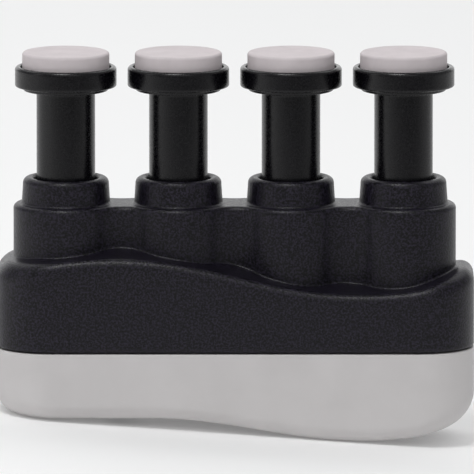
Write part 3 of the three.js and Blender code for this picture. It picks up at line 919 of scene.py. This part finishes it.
rise = add_node(helix, "ShaderNodeCombineXYZ", None, {"Z": start.outputs["Start Height"]})
shift = {"Geometry": wire.outputs[0], "Translation": rise.outputs[0]}
moved = add_node(helix, "GeometryNodeTransform", None, shift)
finish_group(helix, start, moved.outputs[0])
print("helix nodes:", len(helix.nodes))

# %% Return spring
COIL_R, WIRE_R = 3.175, 0.4
SPRING_LOW, SPRING_HIGH = 10.3, 42.0
spring_mesh = baked(
    "return spring",
    helix,
    {
        "Turns": 9.0,
        "Radius": COIL_R * MM,
        "Height": (SPRING_HIGH - SPRING_LOW - 2 * WIRE_R) * MM,
        "Wire Radius": WIRE_R * MM,
        "Start Height": (SPRING_LOW + WIRE_R) * MM,
        "Steps": 32,
        "Material": spring_steel,
    },
)

# %% Tension screw: a core with a stop collar, and its thread
THREAD_LOW, THREAD_HIGH, CORE_R = 42.0, 57.6, 1.85
STOP_R, STOP_LOW, STOP_HIGH = 3.3, THREAD_HIGH, THREAD_HIGH + 1.2
thread_mesh = baked(
    "tension thread",
    helix,
    {
        "Turns": 7.0,
        "Radius": CORE_R * MM,
        "Height": 14.0 * MM,
        "Wire Radius": 0.4 * MM,
        "Start Height": (THREAD_LOW + 0.8) * MM,
        "Steps": 28,
        "Material": zinc_steel,
    },
)
core_mesh = turned(
    "tension core",
    [
        (0, THREAD_LOW),
        (1.5, THREAD_LOW),
        (CORE_R, THREAD_LOW + 0.4),
        (CORE_R, STOP_LOW),
        (STOP_R - 0.2, STOP_LOW),
        (STOP_R, STOP_LOW + 0.2),
        (STOP_R, STOP_HIGH - 0.2),
        (STOP_R - 0.2, STOP_HIGH),
        (0, STOP_HIGH),
    ],
    zinc_steel,
    48,
)


# %% Small bars: necks, keys and cutters
def bar(name, size, low_z, high_z, material, x=0.0, y=0.0, bevel=0.0):
    """A small rectangular bar with softened edges."""
    work = bmesh.new()
    bmesh.ops.create_cube(work, size=1.0)
    grow = Matrix.Diagonal((size[0] * MM, size[1] * MM, (high_z - low_z) * MM, 1))
    place = Matrix.Translation((x * MM, y * MM, (low_z + high_z) / 2 * MM))
    bmesh.ops.transform(work, matrix=place @ grow, verts=work.verts)
    if bevel:
        softened = {"offset": bevel * MM, "segments": 2, "profile": 0.5, "affect": "EDGES"}
        bmesh.ops.bevel(work, geom=work.edges, **softened)
    mesh = bpy.data.meshes.new(name)
    work.to_mesh(mesh)
    work.free()
    mesh.materials.append(material)
    return mesh


neck_mesh = bar("tension neck", (3, 3), STOP_HIGH - 0.2, DIAL_FLOOR - 0.2, zinc_steel, bevel=0.15)
guide_key = bar("guide key", (2.2, 2.0), PISTON_BOTTOM, PISTON_TOP, plunger_black, x=7.2, bevel=0.15)
print("neck top:", DIAL_FLOOR - 0.2, "mm")

# %% Tension nut with its two keys
NUT, NUT_HOLE, NUT_LOW, NUT_HIGH = 3.575, 2.55, 42.3, 46.3
nut_profile = [
    (NUT_HOLE, NUT_LOW),
    (NUT - 0.225, NUT_LOW),
    (NUT, NUT_LOW + 0.2),
    (NUT, NUT_HIGH - 0.2),
    (NUT - 0.225, NUT_HIGH),
    (NUT_HOLE, NUT_HIGH),
    (NUT_HOLE, NUT_LOW),
]
nut_mesh = turned("tension nut", nut_profile, nut_acetal, 48)
key_place = {"low_z": NUT_LOW + 0.1, "high_z": NUT_HIGH - 0.1, "bevel": 0.12}
nut_keys = [bar("nut key", (1.6, 1.2), material=nut_acetal, y=y, **key_place) for y in (-3.675, 3.675)]

# %% Casing screw with a cross recess
SCREW_HEAD_LOW, SCREW_HEAD_HIGH, SCREW_TIP = 7.3, 9.1, 21.1
HEAD, SHANK, HEAD_EDGE = 2.5, 1.3, 0.75
casing_screw_mesh = turned(
    "casing screw",
    [
        (0, SCREW_HEAD_LOW),
        (HEAD - 1.0, SCREW_HEAD_LOW),
        *rounded(HEAD - HEAD_EDGE, SCREW_HEAD_LOW + HEAD_EDGE, HEAD_EDGE, -90, 6),
        (HEAD, SCREW_HEAD_HIGH - 0.1),
        (HEAD - 0.1, SCREW_HEAD_HIGH),
        (SHANK, SCREW_HEAD_HIGH),
        (SHANK, SCREW_TIP - 1.0),
        (SHANK / 2, SCREW_TIP),
        (0, SCREW_TIP),
    ],
    zinc_steel,
    48,
)


def cut_by(mesh, cutters):
    """Takes the cutters out of a mesh and keeps the plain result."""
    host = new_object(mesh.name + " cut", mesh)
    tools = []
    for cutter in cutters:
        tool = new_object("cutter", cutter)
        modifier = host.modifiers.new("cut", "BOOLEAN")
        modifier.operation = "DIFFERENCE"
        modifier.solver = "EXACT"
        modifier.object = tool
        tools.append(tool)
    graph = bpy.context.evaluated_depsgraph_get()
    result = bpy.data.meshes.new_from_object(host.evaluated_get(graph))
    for thing in [host, *tools]:
        bpy.data.objects.remove(thing)
    tidy(result)
    return result


recess_place = {"low_z": SCREW_HEAD_LOW - 1, "high_z": SCREW_HEAD_LOW + 1.0, "material": zinc_steel}
recess = [bar("recess", size, **recess_place) for size in ((3.0, 0.6), (0.6, 3.0))]
casing_screw_mesh = cut_by(casing_screw_mesh, recess)
print("casing screw:", len(casing_screw_mesh.polygons), "faces")

# %% [markdown]
# ## Assembly
#
# Every visual piece rides on the body of the CAD piece that it replaces, hides that piece, and takes
# the finish its meshes carry. Each spring keeps a mesh of its own.


# %% Claim a body, a CAD node and a finish
def claim(made, body, node):
    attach(made, body)
    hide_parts(node)


def put(name, meshes, body, node, x=0.0, y=0.0, rotation=0.0):
    """Places a copy of some meshes at x and y as one piece, with the materials they carry."""
    made = joined(name, meshes)
    made.data.materials.clear()
    for material in dict.fromkeys(m for mesh in meshes for m in mesh.materials if m):
        made.data.materials.append(material)
    move = Matrix.Translation((x * MM, y * MM, 0))
    made.data.transform(move @ Matrix.Rotation(rotation, 4, "Z"))
    claim(made, body, node)
    return made


print("one plunger:", len(plunger_mesh.polygons), "faces")

# %% Place the shells and the casing screws
top_casing.data.materials.append(casing_black)
claim(top_casing, "body", "top_casing")
palm_rest.data.materials.append(palm_grey)
claim(palm_rest, "body", "palm_rest")
for n, (x, y) in enumerate(SCREWS, start=1):
    node = f"casing_screw_{n}"
    put(f"{node}_skin", [casing_screw_mesh], "body", node, x, y, 0.6 * n)
print("placed: top casing, palm rest and", len(SCREWS), "screws")

# %% Place what belongs to each finger
screw_meshes = [core_mesh, thread_mesh, neck_mesh]
nut_meshes = [nut_mesh, *nut_keys]
for n, x in enumerate(finger_x, start=1):
    turn = 0.0 if x < 0 else math.pi
    plunger, dial, nut = f"plunger_{n}", f"dial_{n}", f"nut_{n}"
    put(f"plunger_{n}_skin", [plunger_mesh, guide_key], plunger, f"plunger_{n}", x, 0, turn)
    put(f"tension_dial_{n}_skin", [dial_mesh], dial, f"tension_dial_{n}", x)
    put(f"finger_pad_{n}_skin", [pad_mesh], dial, f"finger_pad_{n}", x)
    put(f"tension_screw_{n}_skin", screw_meshes, dial, f"tension_screw_{n}", x)
    put(f"tension_nut_{n}_skin", nut_meshes, nut, f"tension_nut_{n}", x)
    coil = put(f"return_spring_{n}_skin", [spring_mesh], "body", f"return_spring_{n}", x)
    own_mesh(coil)

# %% [markdown]
# ## Floor, light and camera
#
# The exerciser stands on the far end of its level foot and on the palm bulge, so the floor leans
# a few degrees to touch both. It is one wide opal sheet, pale under the exerciser, with painted
# shade that darkens it far in front. A faint painted glow in the sheet keeps the shadow under the
# palm rest faint. A softbox above and in front draws the bright edges. The front stays dim, from
# the weak room light and the painted shade: black plastic shows what it faces, and a dim front is
# what lets it read as black.

# %% Stage
FLOOR_SLOPE = -0.0707
FLOOR_AT_X, FLOOR_AT_Z = 17.2, 0.15
FLOOR_REACH = 3.6
ends = (-FLOOR_REACH, FLOOR_REACH)
heights = {x: FLOOR_AT_Z * MM + FLOOR_SLOPE * (x - FLOOR_AT_X * MM) for x in ends}
corners = [(x, y, heights[x]) for x in ends for y in ends]
floor_mesh = bpy.data.meshes.new("opal sheet")
floor_mesh.from_pydata(corners, [], [(0, 2, 3, 1)])
floor = new_object("opal_sheet", floor_mesh)
name = "Acrylic sheet, opal, lit from below"
opal, tree, shader = new_material(name, "#EAEAEA", 0.85, 1.45, specular=0.2)
# Painted glow: the sheet emits a little light of its own, which keeps the shadows on it faint.
shader.inputs["Emission Color"].default_value = hex_colour("#FFFFFF")
pattern, coords = grain(tree, shader, 1.2, 0.01, 0.2)
vary(tree, shader, "Roughness", pattern, 0.8, 0.9)
print("sheet:", len(floor_mesh.polygons), "face, slope", FLOOR_SLOPE)

# %% Painted shade towards the front, and the painted glow fading out there
PAINTED_FADE_START, PAINTED_FADE_END = -0.45, -0.09
parts = add_node(tree, "ShaderNodeSeparateXYZ", None, {"Vector": coords})
# Painted shade: the sheet's colour darkens to a mid grey towards the front, and its painted glow fades out
# there too.
tint(tree, shader, parts.outputs["Y"], "#4A4A4A", "#EAEAEA", PAINTED_FADE_START, PAINTED_FADE_END)
vary(tree, shader, "Emission Strength", parts.outputs["Y"], 0.0, 0.12, PAINTED_FADE_START, PAINTED_FADE_END)
floor_mesh.materials.append(opal)
print("pale from", PAINTED_FADE_END, "m back, dark before", PAINTED_FADE_START, "m")

# %% Room light and softboxes
world = bpy.data.worlds.new("studio")
scene.world = world
world.use_nodes = True
room = world.node_tree.nodes["Background"]
room.inputs["Color"].default_value = hex_colour("#F4F5F6")
room.inputs["Strength"].default_value = 0.42


def softbox(name, place, aim, size, watts):
    """A flat lamp at a place, turned towards a point; places and sizes are in metres."""
    light = bpy.data.lights.new(name, "AREA")
    light.shape = "RECTANGLE"
    light.size, light.size_y = size
    light.energy = watts
    made = bpy.data.objects.new(name, light)
    scene.collection.objects.link(made)
    made.location = place
    made.rotation_euler = (Vector(aim) - Vector(place)).to_track_quat("-Z", "Y").to_euler()


softbox("key softbox", (-0.12, -0.3, 0.75), (0.0, 0.0, 0.03), (0.28, 0.2), 2.35)
softbox("rear softbox", (0.0, 0.5, 0.8), (0.0, 0.45, 0.0), (1.6, 0.5), 3.5)
softbox("front fill", (0.0, -1.0, 0.6), (0.0, -0.05, 0.0), (1.2, 0.6), 1.5)
softbox("rear panel", (0.0, 3.4, 0.8), (0.0, 0.0, 0.8), (5.0, 1.6), 24.0)
softbox("left strip", (-0.7, -0.25, 0.35), (0.0, 0.0, 0.03), (0.25, 0.6), 0.4)
print("lamps:", len(bpy.data.lights))

# %% [markdown]
# ## Camera
#
# A long lens three metres away keeps the four plungers the same size and upright.
# It looks down by nine degrees, so the tops of the pads and the wave of the shelf both show.

# %% Camera
ELEVATION = math.radians(9.0)
WIDTH_SHOWN, DISTANCE, SENSOR = 0.0822, 3.0, 36.0
target = Vector((0.0004, 0.0, 0.0341))
camera_data = bpy.data.cameras.new("camera")
camera_data.sensor_width = SENSOR
camera_data.lens = SENSOR * DISTANCE / WIDTH_SHOWN
camera = bpy.data.objects.new("camera", camera_data)
scene.collection.objects.link(camera)
away = Vector((0.0, -math.cos(ELEVATION), math.sin(ELEVATION)))
camera.location = target + away * DISTANCE
camera.rotation_euler = (math.pi / 2 - ELEVATION, 0.0, 0.0)
scene.camera = camera
scene.view_settings.view_transform = "Standard"
print("camera:", round(camera_data.lens), "mm lens at", DISTANCE, "m")
